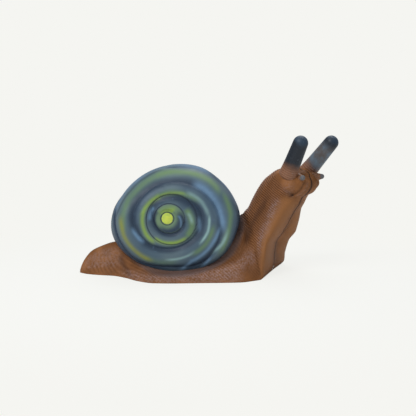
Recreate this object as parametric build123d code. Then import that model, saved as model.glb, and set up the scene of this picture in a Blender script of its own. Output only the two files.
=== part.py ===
from build123d import *
from math import atan2, cos, hypot, pi, sin
import os

# A hollow moulded snail ornament. X runs along the midline towards the head, Y to the
# snail's left and Z up. The origin is on the ground, on the midline, under the shell.
# The midline is straight from the tail to the front of the shell and then bends to the
# snail's right, so s is the distance along it and the seam follows that bend.

# Body
body_length = 493.0
body_height = 222.0
tail_reach = 271.0
foot_half_width = 126.0
neck_half_width = 55.0
bend_start = 57.5
bend_radius = 200.0
body_wall = 6.0
skirt_wall = 18.0
ground_overrun = 6.0
foot_hollow_top = 22.0
foot_hollow_draw = 46.0

# Shell
shell_length = 268.0
shell_height = 212.0
shell_half_thickness = 88.0
shell_centre_x = -68.0
shell_centre_z = 121.0
apex_shift_x = -19.0
apex_shift_z = 3.0
shell_wall = 5.0
shell_clearance = 0.35
whorl_rise_share = 0.3
whorl_seat_share = 0.2
whorl_gap = 1.6
nucleus_base_radius = 21.0
nucleus_top_radius = 15.0
nucleus_height = 4.0

# Seam filler between the halves
bead_thickness = 1.5
bead_recess = 0.8
shell_bead_depth = 7.0

# Upper tentacles and the short lower pair
tentacle_base_s = 195.0
tentacle_base_across = 40.0
tentacle_base_z = 212.0
tentacle_tip_s = 236.0
tentacle_tip_across = 48.0
tentacle_tip_z = 272.0
tentacle_base_radius = 17.5
tentacle_tip_radius = 15.0
tentacle_root = 12.0
tentacle_spigot_radius = 9.0
tentacle_spigot_length = 20.0
feeler_base_s = 212.0
feeler_base_across = 26.0
feeler_base_z = 201.0
feeler_tip_s = 228.0
feeler_tip_across = 31.0
feeler_tip_z = 203.0
feeler_base_radius = 9.5
feeler_tip_radius = 5.0
feeler_root = 10.0
feeler_spigot_radius = 4.0
feeler_spigot_length = 14.0
socket_clearance = 0.2

# Apex buttons
button_radius = 11.0
button_thickness = 4.5
button_crown = 1.5
button_spigot_radius = 4.0
button_spigot_length = 12.0

# Sole plate and fasteners
sole_thickness = 4.0
sole_ledge = 11.0
sole_clearance = 0.4
sole_tip_half_width = 3.0
screw_radius = 2.0
screw_length = 12.0
screw_head_radius = 4.0
screw_head_height = 2.4
sole_boss_radius = 5.5
dowel_radius = 3.0
dowel_length = 24.0
dowel_boss_radius = 8.0
dowel_clearance = 0.1
shell_screw_radius = 2.5
shell_screw_length = 24.0
shell_screw_head_radius = 4.5
shell_screw_head_height = 3.0
shell_screw_seat = 10.0
shell_boss_radius = 7.0
shell_boss_crown = 4.0
shell_dowel_inset = 11.5
sole_boss_top = 90.0
saddle_wall = 9.0

os.makedirs("parts", exist_ok=True)
far = 2 * body_length
far_through = 4 * button_spigot_length
apex_x = shell_centre_x + apex_shift_x
apex_z = shell_centre_z + apex_shift_z
apex_plane = Plane(origin=(apex_x, -shell_half_thickness, apex_z), x_dir=(1, 0, 0), z_dir=(0, -1, 0))


def plan_point(s, across):
    """Place on the ground plan at s along the midline and across to the left of it."""
    if s <= bend_start:
        return (s, across)
    turn = (s - bend_start) / bend_radius
    reach = bend_radius + across
    return (bend_start + reach * sin(turn), reach * cos(turn) - bend_radius)


def plan_turn(s):
    """Angle, in radians, by which the midline has turned at s."""
    return max(0.0, s - bend_start) / bend_radius


def section_point(s_middle, s_facing, s, across, z):
    """Point of a flat section on the midline at s_middle that faces as the midline does at s_facing."""
    turn = plan_turn(s_facing)
    x, y = plan_point(s_middle, 0.0)
    along = s - s_middle
    return (x + along * cos(turn) + across * sin(turn), y - along * sin(turn) + across * cos(turn), z)


# Each station is a flat section through the body, from the tail tip to the muzzle. The
# first four shares are its top and bottom, as s from the tail tip over the body's length
# and z over its height. A bottom of None lies below the ground and is cut off there. The
# next four are half widths at rising heights, over the foot's half width. The last is
# how far the underside bulges, over the neck's half width.
station_shares = [
    (0.000, 0.020, 0.000, None, 0.045, 0.040, 0.030, 0.015, 0.00),
    (0.008, 0.070, 0.008, None, 0.085, 0.075, 0.060, 0.040, 0.00),
    (0.024, 0.135, 0.024, None, 0.150, 0.130, 0.100, 0.060, 0.00),
    (0.052, 0.205, 0.052, None, 0.225, 0.190, 0.150, 0.090, 0.00),
    (0.092, 0.250, 0.092, None, 0.300, 0.235, 0.180, 0.105, 0.00),
    (0.150, 0.290, 0.150, None, 0.380, 0.290, 0.220, 0.130, 0.00),
    (0.205, 0.300, 0.205, None, 0.580, 0.440, 0.310, 0.180, 0.00),
    (0.255, 0.290, 0.255, None, 0.830, 0.640, 0.430, 0.260, 0.00),
    (0.315, 0.270, 0.315, None, 0.990, 0.760, 0.540, 0.340, 0.00),
    (0.430, 0.260, 0.430, None, 1.040, 0.790, 0.580, 0.380, 0.00),
    (0.550, 0.300, 0.550, None, 1.050, 0.790, 0.600, 0.400, 0.00),
    (0.632, 0.420, 0.635, None, 1.030, 0.790, 0.600, 0.370, 0.00),
    (0.674, 0.500, 0.702, None, 1.000, 0.770, 0.590, 0.400, 0.00),
    (0.690, 0.530, 0.765, None, 0.920, 0.730, 0.570, 0.405, 0.00),
    (0.702, 0.548, 0.835, None, 0.740, 0.675, 0.545, 0.400, 0.00),
    (0.711, 0.575, 0.840, 0.135, 0.560, 0.600, 0.515, 0.385, 0.04),
    (0.722, 0.600, 0.848, 0.297, 0.500, 0.520, 0.460, 0.350, 0.06),
    (0.743, 0.698, 0.874, 0.405, 0.430, 0.465, 0.425, 0.300, 0.10),
    (0.767, 0.797, 0.899, 0.514, 0.360, 0.425, 0.400, 0.285, 0.14),
    (0.793, 0.878, 0.927, 0.622, 0.300, 0.400, 0.390, 0.285, 0.14),
    (0.822, 0.932, 0.955, 0.689, 0.270, 0.390, 0.410, 0.330, 0.14),
    (0.854, 0.977, 0.981, 0.734, 0.270, 0.390, 0.420, 0.360, 0.14),
    (0.899, 1.000, 0.998, 0.824, 0.270, 0.370, 0.400, 0.350, 0.10),
    (0.935, 0.998, 1.000, 0.878, 0.235, 0.310, 0.340, 0.290, 0.08),
    (0.964, 0.968, 0.992, 0.928, 0.110, 0.145, 0.140, 0.095, 0.03),
]
height_shares = (0.0, 0.3, 0.6, 0.85)
neck_station = 14
section_facing_share = 0.85


def body_section(shares, inset):
    """Face of one station, drawn in by the wall on its sides, top and underside."""
    top_s = shares[0] * body_length - tail_reach
    top_z = shares[1] * body_height
    low_s = shares[2] * body_length - tail_reach
    on_ground = shares[3] is None
    low_z = -ground_overrun if on_ground else shares[3] * body_height
    middle = (top_s + low_s) / 2
    facing = top_s + section_facing_share * (low_s - top_s)
    size = Vector(top_s - low_s, top_z - low_z).length
    trim_top = inset / size
    trim_low = 0.0 if on_ground else inset / size
    side_inset = inset * skirt_wall / body_wall if on_ground else inset
    side = []
    for height, width in zip(height_shares, shares[4:8]):
        blend = max(0.0, 1.0 - height / height_shares[2])
        drawn = inset + (side_inset - inset) * blend
        up = trim_low + height * (1.0 - trim_low - trim_top)
        s = low_s + up * (top_s - low_s)
        z = low_z + up * (top_z - low_z)
        side.append((s, max(width * foot_half_width - drawn, inset / 2), z))
    peak_s = top_s - trim_top * (top_s - low_s)
    peak_z = top_z - trim_top * (top_z - low_z)
    bulge = shares[8] * neck_half_width
    sag = (trim_low * size - bulge) / size
    base_s = low_s + sag * (top_s - low_s)
    base_z = low_z + sag * (top_z - low_z)
    left = [section_point(middle, facing, s, width, z) for s, width, z in side]
    right = [section_point(middle, facing, s, -width, z) for s, width, z in side]
    crown = section_point(middle, facing, peak_s, 0.0, peak_z)
    keel = section_point(middle, facing, base_s, 0.0, base_z)
    upper = Spline(*left, crown, *reversed(right))
    lower = Spline(right[0], keel, left[0])
    return Face(Wire([upper, lower]))


def body_form(inset, first, last):
    """Loft of the stations from first to last, above and a little below the ground."""
    return loft([body_section(shares, inset) for shares in station_shares[first:last]])


def side_region(offset, side):
    """Tall block on one side of the midline, from offset outwards."""
    edge = side * offset
    quarter = bend_radius * pi / 2
    start = plan_point(-far, edge)
    bend = plan_point(bend_start, edge)
    end = plan_point(bend_start + quarter, edge)
    middle = plan_point(bend_start + quarter / 2, edge)
    corners = [end, (end[0], -far), (-far, -far), start]
    if side > 0:
        corners = [end, (end[0], -far), (far, -far), (far, far), (-far, far), start]
    line = [Line(start, bend), ThreePointArc(bend, middle, end), Polyline(*corners)]
    return Pos(0, 0, -far) * extrude(make_face(line), 2 * far)


# The shell's outline in the side view, every sixteenth of a turn from the head side
# upwards, as shares of its plain oval.
outline_shares = [
    1.00, 0.96, 0.96, 1.00, 0.97, 0.925, 0.915, 0.94,
    1.00, 1.02, 1.05, 1.045, 1.03, 1.05, 1.045, 0.99,
]
# How the outline draws in with the distance from the midline: the level over the half
# thickness, then its reach towards the head, tail, top and ground over the half sizes.
level_shares = [
    (0.00, 1.000, 1.000, 0.972, 0.970),
    (0.25, 0.998, 0.997, 0.962, 0.970),
    (0.45, 0.990, 0.985, 0.932, 0.968),
    (0.60, 0.980, 0.960, 0.880, 0.965),
    (0.74, 0.968, 0.925, 0.795, 0.960),
    (0.85, 0.950, 0.880, 0.700, 0.945),
    (0.92, 0.915, 0.820, 0.610, 0.905),
    (0.97, 0.840, 0.730, 0.510, 0.810),
    (1.00, 0.700, 0.600, 0.390, 0.620),
]


def level_reach(level):
    """Reach of the outline towards the head, tail, top and ground at a share of the half thickness."""
    for before, after in zip(level_shares, level_shares[1:]):
        if level <= after[0]:
            part = (level - before[0]) / (after[0] - before[0])
            shares = [low + part * (high - low) for low, high in zip(before[1:], after[1:])]
            break
    halves = (shell_length / 2, shell_length / 2, shell_height / 2, shell_height / 2)
    return [share * half for share, half in zip(shares, halves)]


def outline_share(angle):
    """Share of the plain oval at an angle in the side view, in radians."""
    place = angle / (2 * pi) * len(outline_shares) % len(outline_shares)
    first = int(place)
    part = place - first
    return outline_shares[first % len(outline_shares)] * (1 - part) + outline_shares[
        (first + 1) % len(outline_shares)
    ] * part


def dome_point(level, grow, angle):
    """Place of the outline in the side view at a level and an angle."""
    head, tail, top, ground_side = level_reach(level)
    reach_x = head if cos(angle) > 0 else tail
    reach_z = top if sin(angle) > 0 else ground_side
    share = outline_share(angle)
    return (
        shell_centre_x + (share * reach_x + grow) * cos(angle),
        shell_centre_z + (share * reach_z + grow) * sin(angle),
    )


def dome_depth(x, z):
    """Depth of the plain dome's surface over the point x, z of the side view."""
    low, high = 0.0, 1.0
    for _ in range(30):
        level = (low + high) / 2
        head, tail, top, ground_side = level_reach(level)
        across = (x - shell_centre_x) / (head if x > shell_centre_x else tail)
        up = (z - shell_centre_z) / (top if z > shell_centre_z else ground_side)
        if hypot(across, up) < outline_share(atan2(up, across)):
            low = level
        else:
            high = level
    return low * shell_half_thickness


def dome_outline(level, grow, y):
    """Face of the outline at a level, standing at y."""
    count = len(outline_shares)
    points = []
    for step in range(count):
        x, z = dome_point(level, grow, step * 2 * pi / count)
        points.append((x, y, z))
    return make_face(Spline(*points, periodic=True))


def dome_form(grow):
    """Right half of the plain dome, grown by a margin or shrunk by a wall."""
    faces = [dome_outline(row[0], grow, -row[0] * (shell_half_thickness + grow)) for row in level_shares]
    return loft(faces)


# The suture between the whorls, every eighth of a turn from the apex out, as its distance
# from the apex over half the shell's length. Seen from the snail's right it starts above
# the head side of the apex and runs clockwise. Each whorl lies between one turn of the
# suture and the next.
suture_shares = [
    0.17, 0.24, 0.27, 0.23, 0.20, 0.21, 0.28, 0.34,
    0.40, 0.52, 0.48, 0.46, 0.48, 0.50, 0.45, 0.45,
    0.60, 0.78, 0.86, 0.75, 0.79, 0.81, 0.77, 0.75,
    0.92, 1.08, 0.93,
]
steps_per_turn = 8
steps_per_loft = 4
whorl_taper_shares = (0.35, 0.8)


def suture_angle(step):
    """Angle of one eighth-turn ray in the side view, from the head side upwards."""
    return (1 - step) * 2 * pi / steps_per_turn


def suture_place(step):
    """Point on the dome where the suture crosses one ray."""
    reach = suture_shares[step] * shell_length / 2
    x = apex_x + reach * cos(suture_angle(step))
    z = apex_z + reach * sin(suture_angle(step))
    return Vector(x, -dome_depth(x, z), z)


def whorl_section(step, last, grow):
    """Face across the whorl: an arc over a chord that is sunk in the dome."""
    inner = suture_place(step)
    outer = suture_place(step + steps_per_turn)
    middle = (inner + outer) / 2
    across = (outer - inner).normalized()
    along = Vector(sin(suture_angle(step)), 0, -cos(suture_angle(step)))
    outward = along.cross(across)
    half_width = (outer - inner).length / 2 - whorl_gap / 2 + grow
    sink = max(0.0, dome_depth(middle.X, middle.Z) + middle.Y)
    ends = min(step, last - step)
    taper = whorl_taper_shares[ends] if ends < len(whorl_taper_shares) else 1.0
    rise = sink + whorl_rise_share * taper * half_width + grow
    seat = whorl_seat_share * half_width
    start = middle - across * half_width - outward * seat
    end = middle + across * half_width - outward * seat
    return Face(Wire([ThreePointArc(start, middle + outward * rise, end), Line(end, start)]))


def shell_form(grow):
    """Right half of the shell, solid: the dome with its whorls and the nucleus."""
    last = len(suture_shares) - steps_per_turn - 1
    sections = [whorl_section(step, last, grow) for step in range(last + 1)]
    form = dome_form(grow)
    for first in range(0, last, steps_per_loft):
        form += loft(sections[first : first + steps_per_loft + 1])
    crown = Cone(nucleus_base_radius + grow, nucleus_top_radius + grow, 2 * nucleus_height)
    return form + apex_plane * Pos(0, 0, grow) * crown


def mirrored(shape):
    """The same form on the snail's other side, where the midline is straight."""
    return mirror(shape, Plane.XZ)


def upright(x, y, low, high, radius):
    """Upright cylinder over a place on the ground plan."""
    return Pos(x, y, (low + high) / 2) * Cylinder(radius, high - low)


def cross_pin(s, z, radius, half_length):
    """Cylinder square across the midline at s and z."""
    turn = plan_turn(s)
    x, y = plan_point(s, 0.0)
    axis = (sin(turn), cos(turn), 0)
    return Plane(origin=(x, y, z), z_dir=axis) * Cylinder(radius, 2 * half_length)


def save(name, shape, colour):
    """Write one piece to its own file."""
    shape.label = name
    shape.color = Color(colour)
    export_step(shape, os.path.join("parts", name + ".step"))


# Places of the joining parts. Dowels in the body are s and z shares as in the stations,
# and those in the shell are angles round its rim. Screws are s from the origin over half
# the body's length, and the distance across over the foot's half width.
body_dowel_shares = [(0.120, 0.200), (0.820, 0.170), (0.765, 0.665), (0.884, 0.575), (0.966, 0.880)]
shell_dowel_angles = (30, 95, 150, 205)
sole_screw_shares = [(-0.82, 0.13), (-0.43, 0.62), (0.08, 0.66), (0.45, 0.46)]
shell_screw_shares = [(-0.42, 0.36), (-0.13, 0.36)]

# Shell halves
half_gap = bead_thickness / 2
shell_solid = shell_form(0.0)
shell_hollow = dome_form(-shell_wall)
shell_dowel_places = []
for angle in shell_dowel_angles:
    x, z = dome_point(0.0, -shell_dowel_inset, angle * pi / 180)
    shell_dowel_places.append((x, z))
    shell_hollow -= Pos(x, 0, z) * Rot(90, 0, 0) * Cylinder(dowel_boss_radius, dowel_length + dowel_boss_radius)
shell_screw_places = []
for s_share, across_share in shell_screw_shares:
    x = s_share * body_length / 2
    y = across_share * foot_half_width
    shell_screw_places.append((x, y))
    top = shell_screw_seat + shell_screw_length + shell_boss_crown
    shell_hollow -= upright(x, -y, 0, top, shell_boss_radius)
shell_right = shell_solid - shell_hollow
shell_right -= Pos(0, far / 2 - half_gap, 0) * Box(2 * far, far, 2 * far)
for x, z in shell_dowel_places:
    hole_depth = dowel_length / 2 + dowel_clearance
    hole = Pos(x, -hole_depth / 2, z) * Rot(90, 0, 0) * Cylinder(dowel_radius + dowel_clearance, hole_depth)
    shell_right -= hole
for x, y in shell_screw_places:
    top = shell_screw_seat + shell_screw_length + dowel_clearance
    shell_right -= upright(x, -y, 0, top, shell_screw_radius + dowel_clearance)
recess_depth = button_thickness - button_crown
button_seat = nucleus_height - recess_depth
shell_right -= apex_plane * Pos(0, 0, button_seat + far / 2) * Cylinder(button_radius + socket_clearance, far)
shell_right -= apex_plane * Cylinder(button_spigot_radius + socket_clearance, far_through)
save("shell_right_half", shell_right, "steelblue")
save("shell_left_half", mirrored(shell_right), "steelblue")

# Shell seam filler
bead = extrude(dome_outline(0.0, -bead_recess, half_gap), bead_thickness, dir=(0, -1, 0))
bead -= extrude(dome_outline(0.0, -shell_bead_depth, half_gap), bead_thickness, dir=(0, -1, 0))
save("shell_seam_bead", bead, "midnightblue")
shell_dowels = []
for x, z in shell_dowel_places:
    shell_dowels.append(Pos(x, 0, z) * Rot(90, 0, 0) * Cylinder(dowel_radius, dowel_length))
save("shell_dowels", Compound(children=shell_dowels), "silver")

# Apex buttons
button_round = (button_radius**2 + button_crown**2) / (2 * button_crown)
button = Pos(0, 0, button_thickness / 2) * Cylinder(button_radius, button_thickness)
button &= Pos(0, 0, button_thickness - button_round) * Sphere(button_round)
button += Pos(0, 0, -button_spigot_length / 2) * Cylinder(button_spigot_radius, button_spigot_length)
button_right = apex_plane * Pos(0, 0, button_seat) * button
save("apex_button_right", button_right, "gold")
save("apex_button_left", mirrored(button_right), "gold")

outline_steps = 12

# The hollow in the neck, as rounds from the foot up. Each row is the s of the round's
# centre from the tail tip over the body's length, its z over the body's height, its radius
# over the neck's half width, and how far it leans forward over a quarter turn.
neck_hollow_shares = [
    (0.761, -0.006, 0.473, 0.000),
    (0.773, 0.270, 0.455, 0.127),
    (0.823, 0.563, 0.473, 0.318),
    (0.890, 0.788, 0.400, 0.446),
]


def sole_outline(inset, z):
    """Face at a height z with the foot's outline, drawn in from its edge."""
    rows = []
    for shares in station_shares[3:]:
        if shares[3] is None:
            rise = (sole_thickness + ground_overrun) / (height_shares[1] * (shares[1] * body_height + ground_overrun))
            width = shares[4] + (shares[5] - shares[4]) * min(rise, 1.0)
            rows.append((shares[2] * body_length - tail_reach, width * foot_half_width))
    first, last = rows[0][0] + inset, rows[-1][0] - inset
    left, right = [], []
    for step in range(outline_steps + 1):
        s = first + (last - first) * step / outline_steps
        before, after = [pair for pair in zip(rows, rows[1:]) if s <= pair[1][0]][0]
        part = (s - before[0]) / (after[0] - before[0])
        across = max(before[1] + part * (after[1] - before[1]) - inset, sole_tip_half_width)
        left.append(plan_point(s, across))
        right.append(plan_point(s, -across))
    edges = [Spline(*left), Line(left[-1], right[-1]), Spline(*reversed(right)), Line(right[0], left[0])]
    return Pos(0, 0, z) * make_face(edges)


def neck_round(s_share, z_share, radius_share, lean_share):
    """Round section of the neck's hollow."""
    s = s_share * body_length - tail_reach
    x, y = plan_point(s, 0.0)
    turn, lean = plan_turn(s), lean_share * pi / 2
    upward = (sin(lean) * cos(turn), -sin(lean) * sin(turn), cos(lean))
    plane = Plane(origin=(x, y, z_share * body_height), x_dir=(sin(turn), cos(turn), 0), z_dir=upward)
    return plane * Circle(radius_share * neck_half_width)


# Body
ground = Pos(0, 0, -far / 2) * Box(2 * far, 2 * far, far)
pocket = shell_form(shell_clearance)
saddle_keep = dome_form(saddle_wall)
cavity = loft([sole_outline(skirt_wall, -sole_clearance), sole_outline(foot_hollow_draw, foot_hollow_top)])
cavity += loft([neck_round(*shares) for shares in neck_hollow_shares])
cavity -= saddle_keep
cavity -= mirrored(saddle_keep)
for s_share, z_share in body_dowel_shares:
    s, z = s_share * body_length - tail_reach, z_share * body_height
    cavity -= cross_pin(s, z, dowel_boss_radius, dowel_length / 2 + dowel_boss_radius / 2)
sole_screw_places = []
for s_share, across_share in sole_screw_shares:
    for side in (-1, 1):
        x, y = plan_point(s_share * body_length / 2, side * across_share * foot_half_width)
        sole_screw_places.append((x, y))
        cavity -= upright(x, y, 0, sole_boss_top, sole_boss_radius)
for x, y in shell_screw_places:
    for side in (-1, 1):
        cavity -= upright(x, side * y, shell_screw_seat, sole_boss_top, shell_boss_radius)
rebate = extrude(sole_outline(sole_ledge - sole_clearance, 0), sole_thickness + sole_clearance / 2)
drillings = []
for x, y in sole_screw_places:
    drillings.append(upright(x, y, -dowel_clearance, screw_length + dowel_clearance, screw_radius + dowel_clearance))
for x, y in shell_screw_places:
    for side in (-1, 1):
        drillings.append(upright(x, side * y, 0, sole_boss_top, shell_screw_radius + dowel_clearance))
        drillings.append(upright(x, side * y, 0, shell_screw_seat, shell_screw_head_radius + dowel_clearance))
for s_share, z_share in body_dowel_shares:
    s, z = s_share * body_length - tail_reach, z_share * body_height
    drillings.append(cross_pin(s, z, dowel_radius + dowel_clearance, dowel_length / 2 + dowel_clearance))

# Tentacles
head_guard = body_form(-socket_clearance, neck_station, len(station_shares))


def midline_place(s, across, z):
    """Point at s along the midline, across to the left and z up."""
    x, y = plan_point(s, across)
    return Vector(x, y, z)


def tentacle_form(base, tip, base_radius, tip_radius, root):
    """Tapered finger with a round tip, from a root inside the head."""
    length = (tip - base).length
    shoulder = (tip_radius * cos(pi / 4), length + tip_radius * sin(pi / 4))
    lines = [
        Line((0, -root), (base_radius, -root)),
        Line((base_radius, -root), (tip_radius, length)),
        ThreePointArc((tip_radius, length), shoulder, (0, length + tip_radius)),
        Line((0, length + tip_radius), (0, -root)),
    ]
    return Plane(origin=base, z_dir=tip - base) * revolve(Plane.XZ * make_face(lines), Axis.Z)


def spigot_form(base, tip, radius, depth, rise):
    """Cylinder on a tentacle's axis, from a depth inside the head to a rise above its base."""
    place = Plane(origin=base, z_dir=tip - base) * Pos(0, 0, (rise - depth) / 2)
    return place * Cylinder(radius, rise + depth)


tentacles = [
    (
        "upper_tentacle_",
        (tentacle_base_s, tentacle_base_across, tentacle_base_z),
        (tentacle_tip_s, tentacle_tip_across, tentacle_tip_z),
        (tentacle_base_radius, tentacle_tip_radius, tentacle_root),
        (tentacle_spigot_radius, tentacle_spigot_length),
        "darkslategray",
    ),
    (
        "lower_tentacle_",
        (feeler_base_s, feeler_base_across, feeler_base_z),
        (feeler_tip_s, feeler_tip_across, feeler_tip_z),
        (feeler_base_radius, feeler_tip_radius, feeler_root),
        (feeler_spigot_radius, feeler_spigot_length),
        "peru",
    ),
]
for name, base_place, tip_place, form, spigot, colour in tentacles:
    for side, word in ((-1, "right"), (1, "left")):
        base = midline_place(base_place[0], side * base_place[1], base_place[2])
        tip = midline_place(tip_place[0], side * tip_place[1], tip_place[2])
        radius, depth = spigot
        finger = tentacle_form(base, tip, *form) - head_guard
        finger += spigot_form(base, tip, radius, depth, radius)
        drillings.append(spigot_form(base, tip, radius + socket_clearance, depth + socket_clearance, radius))
        save(name + word, finger, colour)

# Body halves and the seam filler between them
rear = body_form(0.0, 0, neck_station + 1) - ground
front = body_form(0.0, neck_station, len(station_shares)) - ground
right_region = side_region(half_gap, -1)
left_region = side_region(half_gap, 1)
body_right = (rear & right_region) + (front & right_region)
body_left = (rear & left_region) + (front & left_region)
body_bead = (rear - right_region - left_region) + (front - right_region - left_region)
body_right -= pocket
body_left -= mirrored(pocket)
body_bead -= pocket
body_bead -= mirrored(pocket)
body_right -= cavity
body_left -= cavity
body_bead -= cavity
body_right -= rebate
body_left -= rebate
body_bead -= rebate
for drilling in drillings:
    body_right -= drilling
    body_left -= drilling
    body_bead -= drilling
save("body_right_half", body_right, "peru")
save("body_left_half", body_left, "peru")
save("body_seam_bead", body_bead, "black")
body_dowels = []
for s_share, z_share in body_dowel_shares:
    s, z = s_share * body_length - tail_reach, z_share * body_height
    body_dowels.append(cross_pin(s, z, dowel_radius, dowel_length / 2))
save("body_dowels", Compound(children=body_dowels), "silver")

# Sole plate and screws
plate = extrude(sole_outline(sole_ledge, 0), sole_thickness)
sole_screws = []
for x, y in sole_screw_places:
    plate -= upright(x, y, 0, sole_thickness, screw_radius + socket_clearance)
    plate -= upright(x, y, 0, screw_head_height + dowel_clearance, screw_head_radius + socket_clearance)
    head = upright(x, y, dowel_clearance, screw_head_height, screw_head_radius)
    sole_screws.append(head + upright(x, y, dowel_clearance, screw_length, screw_radius))
save("sole_plate", plate, "dimgray")
save("sole_screws", Compound(children=sole_screws), "silver")
shell_screws = []
for x, y in shell_screw_places:
    for side in (-1, 1):
        seat = shell_screw_seat
        head = upright(x, side * y, seat - shell_screw_head_height, seat, shell_screw_head_radius)
        shell_screws.append(head + upright(x, side * y, seat, seat + shell_screw_length, shell_screw_radius))
save("shell_screws", Compound(children=shell_screws), "silver")
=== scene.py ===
import math

import bmesh
import bpy
import numpy as np
from mathutils import Euler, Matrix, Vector


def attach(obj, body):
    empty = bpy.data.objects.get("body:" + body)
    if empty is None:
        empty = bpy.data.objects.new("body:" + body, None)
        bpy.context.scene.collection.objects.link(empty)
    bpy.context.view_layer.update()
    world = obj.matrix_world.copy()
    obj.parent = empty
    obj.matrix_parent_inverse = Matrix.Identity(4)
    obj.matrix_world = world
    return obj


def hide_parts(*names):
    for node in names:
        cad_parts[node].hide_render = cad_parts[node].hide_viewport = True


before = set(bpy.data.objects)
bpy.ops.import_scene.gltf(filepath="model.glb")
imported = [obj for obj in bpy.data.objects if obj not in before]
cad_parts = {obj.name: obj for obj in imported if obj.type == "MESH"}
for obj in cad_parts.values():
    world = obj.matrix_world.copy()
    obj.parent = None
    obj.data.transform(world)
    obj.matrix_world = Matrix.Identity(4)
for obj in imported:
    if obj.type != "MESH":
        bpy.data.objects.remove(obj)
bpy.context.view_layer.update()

# The foot, neck and head of the snail. The real body is moulded in two handed halves that
# meet on the midline, ribbed by hand over the neck and the flanks and painted a matt
# reddish brown. Each half is one skin, drawn from the tail tip to the muzzle.
body_length = 0.493
body_height = 0.222
tail_reach = 0.271
foot_half_width = 0.126
neck_half_width = 0.055
bend_start = 0.0575
bend_radius = 0.2
sunk_foot = 0.006
least_height = 0.004
muzzle_cap = 0.006
muzzle_bulge = 0.004
seam_half_gap = 0.00075
body_columns = 880
body_rows = 104
underside_share = 0.2
top_run = 5.0

# The seat of the sole plate in the underside, between two places on the midline.
sole_edge = 0.0105
sole_recess = 0.0042
least_slant_height = 0.02
least_seat_share = 0.3
least_rim = 0.002
plate_run = 0.77
plate_run_play = 0.02
plate_tail_s = -0.2352
plate_head_s = 0.1305
full_ground = 0.99
foot_edge_run = 1.001

# Each row is a section through the body: its top and its bottom as s and z shares, four
# half widths at rising heights, the bulge of its underside, and 1 where it is on the ground.
body_shares = [
    (0.000, 0.020, 0.000, 0.000, 0.045, 0.040, 0.030, 0.015, 0.00, 1),
    (0.008, 0.070, 0.008, 0.000, 0.085, 0.075, 0.060, 0.040, 0.00, 1),
    (0.024, 0.135, 0.024, 0.000, 0.150, 0.130, 0.100, 0.060, 0.00, 1),
    (0.052, 0.205, 0.052, 0.000, 0.225, 0.190, 0.150, 0.090, 0.00, 1),
    (0.092, 0.250, 0.092, 0.000, 0.300, 0.235, 0.180, 0.105, 0.00, 1),
    (0.150, 0.290, 0.150, 0.000, 0.380, 0.290, 0.220, 0.130, 0.00, 1),
    (0.205, 0.300, 0.205, 0.000, 0.580, 0.440, 0.310, 0.180, 0.00, 1),
    (0.255, 0.290, 0.255, 0.000, 0.830, 0.640, 0.430, 0.260, 0.00, 1),
    (0.315, 0.270, 0.315, 0.000, 0.990, 0.760, 0.540, 0.340, 0.00, 1),
    (0.430, 0.260, 0.430, 0.000, 1.040, 0.790, 0.580, 0.380, 0.00, 1),
    (0.550, 0.300, 0.550, 0.000, 1.050, 0.790, 0.600, 0.400, 0.00, 1),
    (0.632, 0.420, 0.635, 0.000, 1.030, 0.790, 0.600, 0.370, 0.00, 1),
    (0.674, 0.500, 0.702, 0.000, 1.000, 0.770, 0.590, 0.400, 0.00, 1),
    (0.690, 0.530, 0.765, 0.000, 0.920, 0.730, 0.570, 0.405, 0.00, 1),
    (0.702, 0.548, 0.835, 0.000, 0.740, 0.675, 0.545, 0.400, 0.00, 1),
    (0.711, 0.575, 0.840, 0.135, 0.560, 0.600, 0.515, 0.385, 0.04, 0),
    (0.722, 0.600, 0.848, 0.297, 0.500, 0.520, 0.460, 0.350, 0.06, 0),
    (0.743, 0.698, 0.874, 0.405, 0.430, 0.465, 0.425, 0.300, 0.10, 0),
    (0.767, 0.797, 0.899, 0.514, 0.360, 0.425, 0.400, 0.285, 0.14, 0),
    (0.793, 0.878, 0.927, 0.622, 0.300, 0.400, 0.390, 0.285, 0.14, 0),
    (0.822, 0.932, 0.955, 0.689, 0.270, 0.390, 0.410, 0.330, 0.14, 0),
    (0.854, 0.977, 0.981, 0.734, 0.270, 0.390, 0.420, 0.360, 0.14, 0),
    (0.899, 1.000, 0.998, 0.824, 0.270, 0.370, 0.400, 0.350, 0.10, 0),
    (0.935, 0.998, 1.000, 0.878, 0.235, 0.310, 0.340, 0.290, 0.08, 0),
    (0.964, 0.968, 0.992, 0.928, 0.110, 0.145, 0.140, 0.095, 0.03, 0),
]
height_shares = (0.0, 0.3, 0.6, 0.85, 1.0)

# Places on the skin. A station is a row of the table above, and a run goes from 0 at the
# underside's midline over 1 at the edge of the foot to 5 at the top. A span is where a mark
# starts, is full, fades and ends, and one that lies past the skin's edge has no soft end there.
patches = {
    "nape": ((14.5, 16.0, 22.0, 23.5), (4.3, 4.9, 8.0, 9.0)),
    "low_flank": ((5.0, 6.5, 10.5, 12.5), (0.9, 1.1, 1.3, 2.1)),
    "tail": ((0.5, 2.5, 4.5, 6.0), (1.6, 2.4, 3.6, 4.4)),
    # The shoulder patch is painted shade in the recess between the shell and the neck.
    "shoulder": ((11.5, 12.6, 13.8, 15.0), (3.4, 4.4, 8.0, 9.0)),
    "ribbed": ((1.0, 3.0, 20.2, 21.4), (0.9, 1.5, 8.0, 9.0)),
    "smooth_chest": ((13.5, 15.0, 20.0, 21.0), (-2.0, -1.0, 1.4, 2.2)),
    "smooth_tail": ((-2.0, -1.0, 4.5, 6.5), (1.8, 2.6, 8.0, 9.0)),
    "chest_seam": ((14.0, 15.6, 21.0, 22.4), (-2.0, -1.0, 0.2, 2.2)),
    "tail_seam": ((0.3, 1.5, 5.0, 7.0), (3.2, 4.8, 8.0, 9.0)),
    # This patch lightens the chest, which faces away from the lamps: painted light.
    "chest_painted_light": ((13.5, 15.0, 19.5, 21.0), (0.1, 0.5, 1.2, 2.2)),
}
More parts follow.
